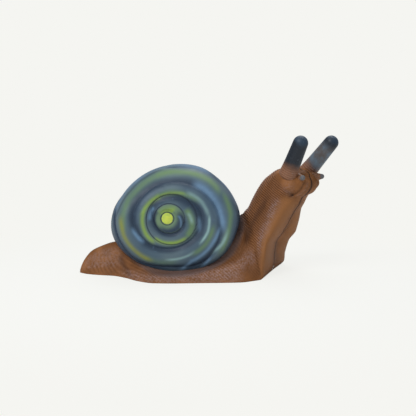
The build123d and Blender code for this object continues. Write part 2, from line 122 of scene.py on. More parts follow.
# Marks along a path, which is a span of stations and the stations and runs of its line, with
# how many runs above that line each lies and how wide it is.
valley_path = (12.2, 13.4, 17.6, 19.2), (12.8, 14.9, 16.6, 17.6), (3.4, 3.65, 3.4, 3.1)
ridge_path = (14.2, 15.4, 18.6, 19.8), (15.4, 16.8, 18.4), (2.05, 1.85, 1.93)
fold_path = (7.2, 8.8, 13.0, 14.2), (8.5, 9.15, 9.8, 11.1, 12.9), (1.40, 1.53, 1.78, 1.88, 2.20)
lip_path = (20.1, 20.7, 22.8, 23.4), (20.56, 21.08, 21.55, 21.92, 22.98), (1.12, 0.90, 0.65, 0.53, 0.45)
line_marks = {
    "valley": (valley_path, 0.0, 0.42),
    "ridge": (ridge_path, 0.0, 0.40),
    "fold": (fold_path, 0.0, 0.36),
    "hollow": (fold_path, 0.85, 0.50),
    "lip": (lip_path, 0.0, 0.13),
    "crease": (lip_path, 0.24, 0.11),
}
# Round marks: the station and the run of the middle, each with its width.
spot_marks = {
    "pit": (20.8, 0.4, 1.35, 0.28),
    "cheek": (21.4, 0.8, 1.95, 0.55),
}
tail_fold_line = (1.4, 2.53), (6.18, 5.55)
tail_fold_width = 0.28
tail_fold_span = (1.0, 1.4, 2.6, 3.4)
throat_station = 20.8
throat_width = 0.8
throat_fade = (1.0, 2.2)
chest_swell = (14, 15, 16, 17, 18, 19, 20), (0.2, 0.5, 1.1, 1.25, 0.8, 0.15, 0.0)
chest_span = (0.0, 0.8, 1.4, 3.0)
# How high each mark stands over the plain skin, how dark it is painted as shade, and how much of the rubbed
# pink it gets, which is partly wear and partly painted sheen.
mark_heights = {
    "ridge": 0.002, "fold": 0.003, "lip": 0.0014, "cheek": 0.002, "chest": 0.012,
    "throat": -0.009, "valley": -0.003, "hollow": -0.009, "crease": -0.0014,
    "pit": -0.00224, "tail_fold": -0.0014,
}
# Painted shade in the valleys, hollows, creases, the pit, the tail's fold and the recess by the shell.
painted_shade_shares = {
    "valley": 0.75, "hollow": 0.3, "crease": 0.45, "pit": 0.9, "tail_fold": 0.7, "shoulder": 0.8,
}
# The rubbed pink on these marks is partly wear and partly painted sheen.
rubbed_and_sheen_shares = {
    "fold": 0.8, "low_flank": 0.9, "tail": 0.9, "cheek": 0.8, "nape": 0.55, "ridge": 0.75, "lip": 0.6,
}

# The ribs, which lean over the neck one way and over the flank the other.
rib_pitch = 0.0045
rib_depth = 0.0013
rib_wander = 0.0006
wander_along = 180
wander_up = 210
wander_across = 90
neck_start = (12.4, 14.0)
neck_lean = (0.46, 0.89)
flank_lean = (0.72, -0.70)
flank_rib_share = 0.5
smooth_chest_share = 0.75
smooth_tail_share = 0.85

# The seam, which strays from the midline on the chest and the tail, and the grey spray that
# the shell's paint left on the skin round it.
seam_shift = 0.009
tail_seam_shift = 0.003
seam_width = 0.0016
seam_edge_run = 0.02
seam_below_run = 0.6
seam_above_run = 4.0
face_seam_span = (19.5, 20.5, 23.0, 24.0)
shell_centre_x = -0.068
shell_centre_z = 0.121
spray_reach_x = 0.138
spray_reach_z = 0.112
spray_edge = (0.98, 1.05)
spray_span = (4.0, 6.0, 12.5, 14.0)


def even_steps(rows):
    """Running distance along the sections, by whichever of their ends moves more."""
    top = np.diff(rows[:, 0:2] * (body_length, body_height), axis=0)
    low = np.diff(rows[:, 2:4] * (body_length, body_height), axis=0)
    step = np.maximum(np.hypot(*top.T), np.hypot(*low.T))
    return np.concatenate([[0.0], np.cumsum(step)])


def between_rows(keys, values, places):
    """Smooth values between the rows of a table, with no overshoot past a row."""
    gap = np.diff(keys)[:, None]
    slope = np.diff(values, axis=0) / gap
    lean = np.zeros_like(values)
    early = 2 * gap[1:] + gap[:-1]
    late = gap[1:] + 2 * gap[:-1]
    same = slope[:-1] * slope[1:] > 0
    before = np.where(same, slope[:-1], 1.0)
    after = np.where(same, slope[1:], 1.0)
    lean[1:-1] = np.where(same, (early + late) / (early / before + late / after), 0.0)
    lean[0] = slope[0]
    lean[-1] = slope[-1]
    at = np.clip(np.searchsorted(keys, places, side="right") - 1, 0, len(keys) - 2)
    width = gap[at]
    t = ((places - keys[at])[:, None]) / width
    low = values[at]
    rise = values[at + 1] - low
    start_bend = lean[at] * width
    end_bend = lean[at + 1] * width
    square = t * t * (3 * rise - 2 * start_bend - end_bend)
    cube = t**3 * (start_bend + end_bend - 2 * rise)
    return low + t * start_bend + square + cube


def soft_step(value, low, high):
    """0 below low and 1 above high, with a smooth rise between."""
    t = np.clip((value - low) / (high - low), 0.0, 1.0)
    return t * t * (3 - 2 * t)


def window(value, start, full, fading, end):
    """0 outside start and end and 1 from full to fading."""
    return soft_step(value, start, full) * (1 - soft_step(value, fading, end))


def bump(value, width):
    """1 at zero and falling softly to 0 on both sides."""
    return np.exp(-((value / width) ** 2))


def plan_place(s, across):
    """Place on the ground plan at s along the bending midline and across to its left."""
    turn = np.maximum(s - bend_start, 0.0) / bend_radius
    straight = np.minimum(s, bend_start)
    x = straight + (bend_radius + across) * np.sin(turn)
    y = (bend_radius + across) * np.cos(turn) - bend_radius
    return x, y


def smooth_between(a, b, c, d, f):
    """Smooth value at a share f of the way from b to c, which lie between a and d."""
    return b + 0.5 * f * (c - a + f * (2 * a - 5 * b + 4 * c - d + f * (3 * (b - c) + d - a)))


def through_points(knots, t):
    """Smooth curve through a run of points, each an array per vertex, at t from 1 to n - 2."""
    at = np.clip(np.floor(t).astype(int), 1, len(knots) - 3)
    stack = np.stack(knots)
    cell = np.arange(len(t))
    return smooth_between(*(stack[at + k, cell] for k in (-1, 0, 1, 2)), t - at)


def upper_levels(flat):
    """Height shares up a section's side and over its top, each as an array like a flat one."""
    return [flat + share for share in (*height_shares, height_shares[3])]


def raised_section(widths, bulge, run):
    """Width and height share round a section that is clear of the ground."""
    flat = np.zeros_like(run)
    across = [flat - widths[0], flat, *widths, flat, -widths[3]]
    level = [flat, -bulge, *upper_levels(flat)]
    return through_points(across, run + 1.0), through_points(level, run + 1.0)


def foot_section(widths, sunk, height, run):
    """Width and height share round a section on the ground, with the sole plate's seat below."""
    flat = np.zeros_like(run)
    across = [flat - widths[0], 2 * widths[0] - widths[1], *widths, flat, -widths[3]]
    level = [flat, flat - height_shares[1], *upper_levels(flat)]
    ground_level = sunk / np.maximum(height, least_height)
    first = 1.0 + ground_level / height_shares[1]
    lifted = first + (run - 1.0) * (top_run - first) / (top_run - 1.0)
    knot = np.clip(lifted, 1.0, top_run) + 1.0
    edge = through_points(across, first + 1.0)
    slant = (sole_recess + sunk_foot) / (height_shares[1] * np.maximum(height, least_slant_height))
    seat = widths[0] + np.minimum(slant, 1.0) * (widths[1] - widths[0]) - sole_edge
    least_seat = edge * least_seat_share
    seat = np.clip(seat, least_seat, np.maximum(edge - least_rim, least_seat))
    inner = np.minimum(run / plate_run, 1.0)
    outer = np.maximum(run - plate_run, 0.0) / (1 - plate_run)
    under = run < 1.0
    a = np.where(under, inner * seat + outer * (edge - seat), through_points(across, knot))
    h = np.where(under, ground_level, through_points(level, knot))
    return a, h


body_table = np.array(body_shares)
body_keys = even_steps(body_table)


def body_skin(key, run):
    """Midline distance, width and height of the plain skin, and how far it is on the ground."""
    row = between_rows(body_keys, body_table, key)
    top_s = row[:, 0] * body_length - tail_reach
    top_z = row[:, 1] * body_height
    low_s = row[:, 2] * body_length - tail_reach
    sunk = sunk_foot * row[:, 9]
    low_z = row[:, 3] * body_height - sunk
    height = top_z - low_z
    widths = [row[:, 4 + k] * foot_half_width for k in range(4)]
    bulge = row[:, 8] * neck_half_width / np.hypot(top_s - low_s, height)
    grounded = soft_step(row[:, 9], 0.0, 1.0)
    raised_a, raised_h = raised_section(widths, bulge, run)
    foot_a, foot_h = foot_section(widths, sunk, height, run)
    a = grounded * foot_a + (1 - grounded) * raised_a
    h = grounded * foot_h + (1 - grounded) * raised_h
    s = low_s + h * (top_s - low_s)
    z = np.maximum(low_z + h * height, 0.0)
    return s, a, z, grounded


def closed_body(u, run):
    """The plain skin with its muzzle closed and its sole recessed: midline distance, width,
    height, station, how far it is on the ground and how far past the muzzle's edge."""
    reach = u * (body_keys[-1] + muzzle_cap)
    key = np.minimum(reach, body_keys[-1])
    over = (reach - key) / muzzle_cap
    s, a, z, grounded = body_skin(key, run)
    last = body_table[-1]
    end_s = (last[0] + last[2]) / 2 * body_length - tail_reach
    end_z = (last[1] + last[3]) / 2 * body_height
    shrink = np.sqrt(np.maximum(1 - over**2, 0.0))
    tail_tip = u < 0.5 / body_columns
    a = np.where(tail_tip, 0.0, a * shrink)
    s = np.where(over > 0, end_s + (s - end_s) * shrink + muzzle_bulge * over / 2, s)
    z = np.where(over > 0, end_z + (z - end_z) * shrink + muzzle_bulge * over, z)
    z = np.where(tail_tip, 0.0, z)
    by_plate = (run < plate_run + plate_run_play) & (s > plate_tail_s) & (s < plate_head_s)
    z = np.where(by_plate & (grounded > full_ground), sole_recess, z)
    station = np.interp(key, body_keys, np.arange(len(body_keys)))
    return s, a, z, station, grounded, over


def patch(station, run, name):
    """1 in the middle of a patch of the skin and 0 outside it."""
    along, around = patches[name]
    return window(station, *along) * window(run, *around)


def skin_marks(station, run, side):
    """Height of the marks over the plain skin, how dark they are painted as shade, and how much of the
    rubbed pink they get, which is partly wear and partly painted sheen.
    """
    marks = {name: patch(station, run, name) for name in ("nape", "low_flank", "tail", "shoulder")}
    for name, ((span, stations, runs), above, width) in line_marks.items():
        line = np.interp(station, stations, runs)
        marks[name] = window(station, *span) * bump(run - above - line, width)
    for name, (at_station, long, at_run, wide) in spot_marks.items():
        marks[name] = bump(station - at_station, long) * bump(run - at_run, wide)
    tail_fold = bump(station - np.interp(run, *tail_fold_line), tail_fold_width)
    marks["tail_fold"] = tail_fold * window(run, *tail_fold_span)
    throat = bump(station - throat_station, throat_width)
    marks["throat"] = throat * (1 - soft_step(run, *throat_fade))
    chest = (side > 0) * np.interp(station, *chest_swell, left=0.0, right=0.0)
    marks["chest"] = chest * window(run, *chest_span)
    rise = sum(height * marks[name] for name, height in mark_heights.items())
    dark = sum(share * marks[name] for name, share in painted_shade_shares.items())
    rubbed_and_sheen = sum(share * marks[name] for name, share in rubbed_and_sheen_shares.items())
    return rise, np.clip(dark, 0.0, 1.0), np.clip(rubbed_and_sheen, 0.0, 1.0)


def rib_wave(s, a, z, station, run):
    """The ribs, from 0 in a groove to 1 on a crest, and how strong they are."""
    neck = soft_step(station, *neck_start)
    wander = rib_wander * np.sin(s * wander_along) * np.sin(z * wander_up + a * wander_across)
    neck_way = neck_lean[0] * s + neck_lean[1] * z + wander
    flank_way = flank_lean[0] * s + flank_lean[1] * a + wander
    neck_wave = 0.5 + 0.5 * np.cos(math.tau * neck_way / rib_pitch)
    flank_wave = 0.5 + 0.5 * np.cos(math.tau * flank_way / rib_pitch)
    ribbed = patch(station, run, "ribbed") * (1 - flank_rib_share * (1 - neck))
    ribbed = ribbed * (1 - smooth_chest_share * patch(station, run, "smooth_chest"))
    ribbed = ribbed * (1 - smooth_tail_share * patch(station, run, "smooth_tail"))
    return neck * neck_wave + (1 - neck) * flank_wave, ribbed


def new_grid(name, columns, rows):
    """Flat sheet of quads from a bmesh grid, with its two shares from 0 to 1."""
    sheet = bmesh.new()
    bmesh.ops.create_grid(sheet, x_segments=columns, y_segments=rows, size=0.5)
    mesh = bpy.data.meshes.new(name)
    sheet.to_mesh(mesh)
    sheet.free()
    flat = np.empty(len(mesh.vertices) * 3)
    mesh.vertices.foreach_get("co", flat)
    flat = flat.reshape(-1, 3) + 0.5
    return mesh, flat[:, 0], flat[:, 1]


def ordered_grid(name, columns, rows):
    """Flat sheet with its shares row by row, and the rank that puts values back in its order."""
    mesh, u, v = new_grid(name, columns, rows)
    order = np.lexsort((u.round(6), v.round(6)))
    rank = np.empty_like(order)
    rank[order] = np.arange(len(order))
    return mesh, u[order], v[order], rank


def set_places(mesh, places):
    """Moves every vertex of a mesh to its place."""
    mesh.vertices.foreach_set("co", np.ascontiguousarray(places, dtype=np.float32).ravel())
    mesh.update()


def add_values(mesh, values, rank=slice(None)):
    """Keeps named numbers per vertex for the paint to read."""
    for name, value in values.items():
        layer = mesh.attributes.new(name, "FLOAT", "POINT")
        layer.data.foreach_set("value", np.ascontiguousarray(value[rank], dtype=np.float32))


def outward(places, columns, rows):
    """Unit normals of a grid of places, from its own rows and columns."""
    grid = places.reshape(rows + 1, columns + 1, 3)
    normal = np.cross(np.gradient(grid, axis=1), np.gradient(grid, axis=0))
    normal /= np.maximum(np.linalg.norm(normal, axis=2, keepdims=True), 1e-12)
    return normal.reshape(-1, 3)


def close_up(mesh, gap=0.00002):
    """Merges the doubles of a mesh, turns its faces outwards and shades it smooth."""
    work = bmesh.new()
    work.from_mesh(mesh)
    bmesh.ops.remove_doubles(work, verts=work.verts, dist=gap)
    bmesh.ops.dissolve_degenerate(work, edges=work.edges, dist=gap / 2)
    bmesh.ops.recalc_face_normals(work, faces=work.faces)
    for face in work.faces:
        face.smooth = True
    work.to_mesh(mesh)
    work.free()


def new_object(name, data):
    """Object for some data, linked into the scene."""
    made = bpy.data.objects.new(name, data)
    bpy.context.collection.objects.link(made)
    return made


def add_piece(name, mesh, paint, slot, *nodes):
    """Object for a finished mesh that stands for some CAD nodes and rides on the root."""
    close_up(mesh)
    piece = new_object(name, mesh)
    mesh.materials.append(paint)
    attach(piece, "root")
    if nodes:
        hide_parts(*nodes)
    return piece


class Wire:
    """A socket of a material's nodes that can be used in plain sums."""

    def __init__(self, tree, socket):
        self.tree = tree
        self.socket = socket

    def node(self, kind, settings, values, out=0):
        """Any node, by its type, its settings and the values or wires of its sockets."""
        made = self.tree.nodes.new(kind)
        for key, value in settings.items():
            setattr(made, key, value)
        for key, value in values.items():
            if isinstance(value, Wire):
                self.tree.links.new(value.socket, made.inputs[key])
            elif isinstance(value, tuple) and len(value) == 3 and made.inputs[key].type == "RGBA":
                made.inputs[key].default_value = (*value, 1.0)
            else:
                made.inputs[key].default_value = value
        return Wire(self.tree, made.outputs[out])

    def math(self, operation, first, second=0.0, clamp=False):
        """One sum of two values or wires."""
        settings = {"operation": operation, "use_clamp": clamp}
        return self.node("ShaderNodeMath", settings, {0: first, 1: second})

    def __add__(self, other):
        return self.math("ADD", self, other)

    __radd__ = __add__

    def __mul__(self, other):
        return self.math("MULTIPLY", self, other)

    __rmul__ = __mul__

    def __sub__(self, other):
        return self.math("SUBTRACT", self, other)

    def __rsub__(self, other):
        return self.math("SUBTRACT", other, self)

    def held(self):
        """The same value kept between 0 and 1."""
        return self.math("ADD", self, 0.0, clamp=True)

    def band(self, low, high):
        """0 at low and 1 at high, smooth between."""
        values = {"Value": self, "From Min": low, "From Max": high, "To Min": 0.0, "To Max": 1.0}
        return self.node("ShaderNodeMapRange", {"interpolation_type": "SMOOTHSTEP"}, values)

    def mix(self, first, second):
        """Colour from first to second as this value goes from 0 to 1."""
        share, colour_a, colour_b, result = 0, 6, 7, 2
        values = {share: self, colour_a: first, colour_b: second}
        return self.node("ShaderNodeMix", {"data_type": "RGBA"}, values, out=result)

    def cover(self, coat, colour):
        """A coat with a colour laid over it, as thick as this value kept between 0 and 1."""
        return self.held().mix(coat, colour)

    def relief(self, strength, distance):
        """Fine grain of a surface, as high as this value."""
        return self.node("ShaderNodeBump", {}, {"Strength": strength, "Distance": distance, "Height": self})

    def speckle(self, scale, detail=4.0, rough=0.55):
        """Cloudy noise on the object's own coordinates."""
        place = self.node("ShaderNodeTexCoord", {}, {}, out="Object")
        values = {"Vector": place, "Scale": scale, "Detail": detail, "Roughness": rough}
        return self.node("ShaderNodeTexNoise", {}, values)

    def value(self, name):
        """A number kept on the mesh."""
        return self.node("ShaderNodeAttribute", {"attribute_name": name}, {}, out="Fac")


def new_paint(name):
    """Empty material, and a wire to start its sums from."""
    paint = bpy.data.materials.new(name)
    paint.use_nodes = True
    return paint, Wire(paint.node_tree, None)


def set_sockets(paint, sockets):
    """Gives sockets of a paint's principled shader their wires or plain values."""
    shader = paint.node_tree.nodes["Principled BSDF"]
    for name, value in sockets.items():
        if isinstance(value, Wire):
            paint.node_tree.links.new(value.socket, shader.inputs[name])
        else:
            shader.inputs[name].default_value = value


dark_brown = (0.168, 0.063, 0.018)
light_brown = (0.245, 0.096, 0.031)
groove_paint_and_shade_brown = (0.085, 0.030, 0.010)
chest_painted_light_brown = (0.270, 0.112, 0.038)
crest_drybrush_and_highlight_brown = (0.30, 0.128, 0.054)
shade_and_seam_brown = (0.062, 0.024, 0.010)
wear_and_sheen_pink = (0.37, 0.26, 0.245)
spray_grey = (0.105, 0.098, 0.108)
skin_paint, skin = new_paint("brown_skin")
cloud = skin.speckle(38.0)
fine = skin.speckle(260.0, 3.0, 0.6)
rib = skin.value("rib")
coat = cloud.band(0.35, 0.66).mix(dark_brown, light_brown)
# Darker brown in the grooves of the ribs: partly the paint there, partly painted shade.
coat = (skin.value("ribbed") * (1 - rib) * 0.95).cover(coat, groove_paint_and_shade_brown)
# Painted light: the chest is lightened where it faces away from the lamps.
coat = (skin.value("chest_painted_light") * 0.8).cover(coat, chest_painted_light_brown)
# Lighter brown on the crests of the ribs: partly dry-brushed paint, partly painted highlight.
coat = (rib * 0.36 * (fine * 0.8 + 0.3)).cover(coat, crest_drybrush_and_highlight_brown)
# Painted shade in the hollows of the marks, and the real dark line along the seam.
coat = (skin.value("shade_and_seam") * (cloud * 0.5 + 0.65)).cover(coat, shade_and_seam_brown)
# Pink on the crests of the rubbed places: partly wear, partly painted sheen.
wear_and_sheen = (skin.value("rubbed_and_sheen") * (rib * 0.75 + 0.25) * fine.band(0.34, 0.62)).held()
coat = (wear_and_sheen * 0.85).cover(coat, wear_and_sheen_pink)
coat = (skin.value("spray") * (cloud * 0.7 + 0.1)).cover(coat, spray_grey)
skin_sockets = {"Base Color": coat, "Roughness": 0.5 + cloud * 0.2, "Specular IOR Level": 0.15}
set_sockets(skin_paint, skin_sockets | {"Normal": fine.relief(0.35, 0.0006)})


def body_half(side):
    """Mesh of one half of the body, left for side 1 and right for -1, and the places and the
    normals along its seam, from the tail over the top to the muzzle and back below."""
    mesh, u, v, rank = ordered_grid("body_half", body_columns, body_rows)
    run = np.interp(v, (0.0, underside_share, 1.0), (0.0, 1.0, top_run))
    s, a, z, station, grounded, over = closed_body(u, run)
    shift = seam_shift * patch(station, run, "chest_seam")
    shift = shift + tail_seam_shift * patch(station, run, "tail_seam")
    x, y = plan_place(s, side * (a + seam_half_gap) - shift)
    places = np.stack([x, y, z], axis=-1)
    normal = outward(places, body_columns, body_rows) * -side
    rise, dark, rubbed_and_sheen = skin_marks(station, run, side)
    wave, ribbed = rib_wave(s, a, z, station, run)
    rise = rise * (over == 0)
    ribs = (wave - 0.5) * rib_depth * ribbed * (over == 0)
    lifted = places + normal * (rise + ribs)[:, None]
    at_seam = (run < seam_edge_run) | (run > top_run - seam_edge_run)
    lifted[at_seam] = places[at_seam] + normal[at_seam] * np.minimum(rise, 0.0)[at_seam, None]
    on_ground = (run <= foot_edge_run) & (grounded > 0.5)
    lifted[on_ground, 2] = places[on_ground, 2]
    lifted[:, 2] = np.maximum(lifted[:, 2], 0.0)
    set_places(mesh, lifted[rank])
    near_seam = bump(a, seam_width * (1 + window(station, *face_seam_span)))
    near_seam = near_seam * ((run > seam_above_run) | (run < seam_below_run))
    from_shell = np.hypot((x - shell_centre_x) / spray_reach_x, (z - shell_centre_z) / spray_reach_z)
    sprayed = (1 - soft_step(from_shell, *spray_edge)) * window(station, *spray_span) * (run > 1.0)
    values = {
        "rib": wave * ribbed,
        "ribbed": ribbed,
        "rubbed_and_sheen": rubbed_and_sheen,
        "shade_and_seam": np.maximum(dark, near_seam),
        "chest_painted_light": patch(station, run, "chest_painted_light"),
        "spray": sprayed,
    }
    add_values(mesh, values, rank)
    grid = lifted.reshape(body_rows + 1, body_columns + 1, 3)
    facing = normal.reshape(body_rows + 1, body_columns + 1, 3)
    return mesh, np.concatenate([grid[-1], grid[0][::-1]]), np.concatenate([facing[-1], facing[0][::-1]])


sides = ((-1, "right"), (1, "left"))
seam_edges = []
for side, word in sides:
    mesh, edge, facing = body_half(side)
    seam_edges.append((edge, facing))
    add_piece("body_skin_" + word, mesh, skin_paint, "body_skin", "body_" + word + "_half")

# The filler in the seam. The real one is a dark bead that was wiped flush and has sunk a
# little, all the way round the midline of the foot, neck and head. Here it is a shallow
# strip between the edges of the two skins.
seam_recess = 0.0005
seam_depth = 0.002
seam_wall_share = 0.1


def speckled_paint(name, speckle, colours, roughness, band=None, metal=0.0):
    """Paint that drifts between two colours, and in how rough it is, with one speckle."""
    paint, wire = new_paint(name)
    noise = wire.speckle(*speckle)
    share = noise.band(*band) if band else noise
    least, more = roughness
    sockets = {"Base Color": share.mix(*colours), "Roughness": least + noise * more, "Metallic": metal}
    set_sockets(paint, sockets)
    return paint


filler_colours = (0.010, 0.012, 0.018), (0.040, 0.036, 0.036)
filler_paint = speckled_paint("seam_filler", (300.0, 3.0), filler_colours, (0.7, 0.0))
(right_edge, right_facing), (left_edge, left_facing) = seam_edges
inward = -(right_facing + left_facing) / 2
inward /= np.maximum(np.linalg.norm(inward, axis=1, keepdims=True), 1e-9)
strip_rows = (
    right_edge + inward * seam_depth,
    right_edge * (1 - seam_wall_share) + left_edge * seam_wall_share + inward * seam_recess,
    right_edge * seam_wall_share + left_edge * (1 - seam_wall_share) + inward * seam_recess,
    left_edge + inward * seam_depth,
)
along_gaps = len(right_edge) - 1
across_gaps = len(strip_rows) - 1
mesh, u, v = new_grid("seam_strip", along_gaps, across_gaps)
column = np.rint(u * along_gaps).astype(int)
row = np.rint(v * across_gaps).astype(int)
set_places(mesh, np.stack(strip_rows)[row, column])
add_piece("seam_strip", mesh, filler_paint, "seam_filler", "body_seam_bead")

# The shell. The real one is moulded in two handed halves that meet on the midline, each a
# dome wound with one spiral whorl round a yellow disc, and it is airbrushed in navy, blue
# and green. Each half here is one skin, from a lip inside the rim to the disc's seat.
shell_length = 0.268
shell_height = 0.212
shell_half_thickness = 0.088
apex_x = -0.087
apex_z = 0.124
rim_lip = 0.007
lip_rows = 2
seat_rows = 4
floor_rows = 2
shell_columns = 560
shell_rows = 164
profile_steps = 200
button_radius = 0.011
button_gap = 0.0002
button_seat = 0.001
nucleus_radius = 0.018
nucleus_height = 0.004
nucleus_slope = 0.003

# The whorls grow shallower by the rim and towards the shell's mouth.
whorl_rise_share = 0.3
whorl_power = 0.75
rim_rise = 0.0045
rim_shallow_share = 0.85
rim_shallow_levels = (0.25, 0.6)
end_shallow_share = 0.5
end_shallow_turns = (2.15, 2.4)
plain_rim_levels = (0.0, 0.25)
whorl_laps = 4
table_turn = 1 / 8
core_fade_turns = (-1 / 8, 1 / 16)
least_whorl_share = 0.02
open_whorl_share = 0.2
crest_margin_share = 0.01

# Rings engraved round the apex: the middle from the apex, and the radius.
ring_width = 0.0009
ring_depth = 0.0009
small_ring = (0.004, -0.0004, 0.030)
large_ring = (0.0087, -0.0026, 0.050)
button_ring = (0.0, 0.0, 0.0128)

# The outline in the side view every sixteenth of a turn from the head side upwards, and
# how far it reaches to the head, tail, top and ground at each level of the thickness.
outline_shares = [
    0.965, 0.94, 0.96, 1.01, 0.99, 0.94, 0.90, 0.90,
    0.96, 1.025, 1.05, 1.045, 1.03, 1.04, 1.02, 0.97,
]
level_shares = [
    (0.00, 1.000, 1.000, 0.972, 0.970),
    (0.25, 0.998, 0.997, 0.962, 0.970),
    (0.45, 0.990, 0.985, 0.945, 0.968),
    (0.60, 0.980, 0.960, 0.880, 0.965),
    (0.74, 0.968, 0.925, 0.795, 0.960),
    (0.85, 0.950, 0.880, 0.700, 0.945),
    (0.92, 0.915, 0.820, 0.610, 0.905),
    (0.97, 0.840, 0.730, 0.510, 0.810),
    (1.00, 0.700, 0.600, 0.390, 0.620),
]
# The groove between the whorls and the crest beyond it, every eighth of a turn outwards,
# as distances from the apex over half the shell's length.
groove_shares = [
    0.17, 0.24, 0.27, 0.23, 0.195, 0.20, 0.29, 0.345, 0.40, 0.52, 0.48, 0.455, 0.47, 0.50, 0.48, 0.52,
    0.63, 0.78, 0.86, 0.73, 0.78, 0.775, 0.71, 0.71, 0.90, 1.08, 1.04, 0.92, 0.97, 0.98, 0.95, 0.95, 1.08,
]
crest_shares = [
    0.24, 0.33, 0.34, 0.343, 0.39, 0.36, 0.377, 0.42, 0.51, 0.665, 0.62, 0.605, 0.657, 0.665, 0.657, 0.68,
    0.80, 0.94, 0.95, 0.79, 0.85, 0.85, 0.80, 0.80, 0.98, 1.17, 1.14,
]
crest_start_share = 0.105

# The airbrush strokes of each colour: how wide and how strong, and the turns and distances
# from the apex, over half the shell's length, that each one passes through. The sky and
# pale strokes are partly airbrushed paint and partly painted highlight, and the thin night
# stroke along the rim's crease is painted shade.
# Light blue strokes: partly airbrushed paint, partly painted highlight, as on the rim.
sky_paint_and_highlight_shares = [
    (0.030, 0.90, (0.38, 0.50), (0.45, 0.53)),
    (0.050, 0.85, (0.86, 0.64), (0.94, 0.74), (1.03, 0.84)),
    (0.028, 0.90, (0.03, 0.79), (0.12, 0.75), (0.17, 0.73), (0.21, 0.80)),
    (0.020, 0.80, (0.12, 0.88), (0.16, 0.90), (0.18, 0.86)),
    (0.026, 0.75, (0.49, 0.26), (0.56, 0.26), (0.61, 0.26)),
    (0.018, 0.70, (0.96, 0.17), (1.04, 0.21), (1.10, 0.24)),
    (0.028, 0.60, (0.00, 0.47), (0.06, 0.50)),
    (0.035, 0.60, (0.52, 0.76), (0.64, 0.68), (0.72, 0.72), (0.81, 0.80), (0.88, 0.90)),
    (0.030, 0.60, (0.90, 0.95), (0.98, 1.07)),
    (0.022, 0.70, (0.19, 0.85), (0.26, 0.81)),
]
# Pale green strokes: partly airbrushed paint, partly painted highlight.
pale_paint_and_highlight_shares = [
    (0.018, 0.90, (0.99, 0.62), (1.05, 0.63), (1.10, 0.61)),
    (0.030, 0.50, (0.86, 0.48), (0.93, 0.56), (0.99, 0.61)),
    (0.022, 0.70, (0.04, 0.91), (0.07, 0.90), (0.10, 0.86)),
    (0.018, 0.60, (0.15, 0.63), (0.20, 0.62), (0.25, 0.61)),
    (0.026, 0.65, (0.96, 0.32), (1.03, 0.37)),
]
leaf_shares = [
    (0.040, 0.70, (0.46, 0.65), (0.53, 0.62), (0.62, 0.58), (0.68, 0.59), (0.73, 0.62)),
    (0.042, 0.90, (0.70, 0.60), (0.80, 0.68), (0.85, 0.75), (0.89, 0.81), (0.93, 0.84)),
    (0.035, 0.80, (0.94, 0.88), (0.99, 0.93), (1.04, 0.92), (1.09, 0.93)),
    (0.050, 0.95, (0.93, 0.31), (1.00, 0.35), (1.06, 0.39), (1.12, 0.40)),
    (0.035, 0.75, (0.03, 0.69), (0.10, 0.68), (0.15, 0.65)),
    (0.040, 0.35, (0.22, 0.65), (0.34, 0.66)),
    (0.038, 0.65, (0.68, 0.34), (0.79, 0.39), (0.86, 0.44), (0.92, 0.52)),
]
lime_shares = [
    (0.033, 0.90, (0.33, 0.40), (0.38, 0.39), (0.46, 0.37), (0.54, 0.36), (0.63, 0.34), (0.70, 0.34)),
    (0.030, 0.95, (0.13, 0.40), (0.23, 0.37), (0.34, 0.345)),
    (0.020, 0.60, (0.70, 0.34), (0.79, 0.38), (0.85, 0.44)),
    (0.055, 0.95, (0.60, 0.09), (0.74, 0.10), (0.86, 0.14)),
]
olive_shares = [
    (0.032, 0.85, (0.31, 0.66), (0.37, 0.66), (0.43, 0.67), (0.50, 0.66)),
]
night_shares = [
    (0.045, 0.90, (0.48, 0.50), (0.56, 0.53), (0.62, 0.50), (0.68, 0.475), (0.74, 0.475)),
    (0.028, 0.60, (0.74, 0.475), (0.84, 0.54), (0.90, 0.66), (0.94, 0.725), (0.98, 0.78), (1.02, 0.77)),
    (0.035, 0.85, (0.18, 0.48), (0.24, 0.48), (0.32, 0.47), (0.40, 0.48), (0.47, 0.46)),
    (0.028, 0.90, (0.98, 0.20), (1.03, 0.25), (1.11, 0.27), (1.19, 0.27), (1.27, 0.24), (1.40, 0.20),
     (1.60, 0.18)),
    (0.035, 0.85, (0.60, 0.29), (0.70, 0.29), (0.81, 0.32), (0.88, 0.37), (0.95, 0.42), (1.00, 0.44)),
    (0.042, 0.80, (0.99, 0.48), (1.07, 0.55), (1.11, 0.52), (1.18, 0.48)),
    (0.050, 0.90, (0.02, 1.06), (0.06, 1.04), (0.09, 1.03), (0.13, 0.97), (0.18, 0.95)),
    (0.050, 0.90, (0.27, 0.79), (0.34, 0.80), (0.40, 0.83), (0.46, 0.84)),
    # This thin navy stroke runs along the crease by the rim: painted shade.
    (0.012, 0.85, (0.47, 0.80), (0.52, 0.70), (0.55, 0.67), (0.60, 0.635), (0.67, 0.635), (0.73, 0.67)),
    (0.014, 0.85, (0.89, 0.89), (0.94, 0.98), (0.97, 1.04), (1.00, 1.08)),
]
stroke_end = 0.02
light_blue = (0.130, 0.225, 0.335)
stroke_kinds = {
    "night": ((0.020, 0.036, 0.060), night_shares),
    "leaf": ((0.116, 0.198, 0.084), leaf_shares),
    "lime": ((0.200, 0.300, 0.056), lime_shares),
    "olive": ((0.205, 0.215, 0.036), olive_shares),
    "sky": (light_blue, sky_paint_and_highlight_shares),
    "pale": ((0.250, 0.390, 0.370), pale_paint_and_highlight_shares),
}
# The green core inside the small ring, its dusky side, and the crest's tone near the rim.
core_edge = (0.026, 0.031)
dusk_reach = (0.013, 0.026)
dusk_turn = 0.14
dusk_fade = (-0.2, 0.6)
rim_crest_share = 0.7
rim_crest_levels = (0.15, 0.5)


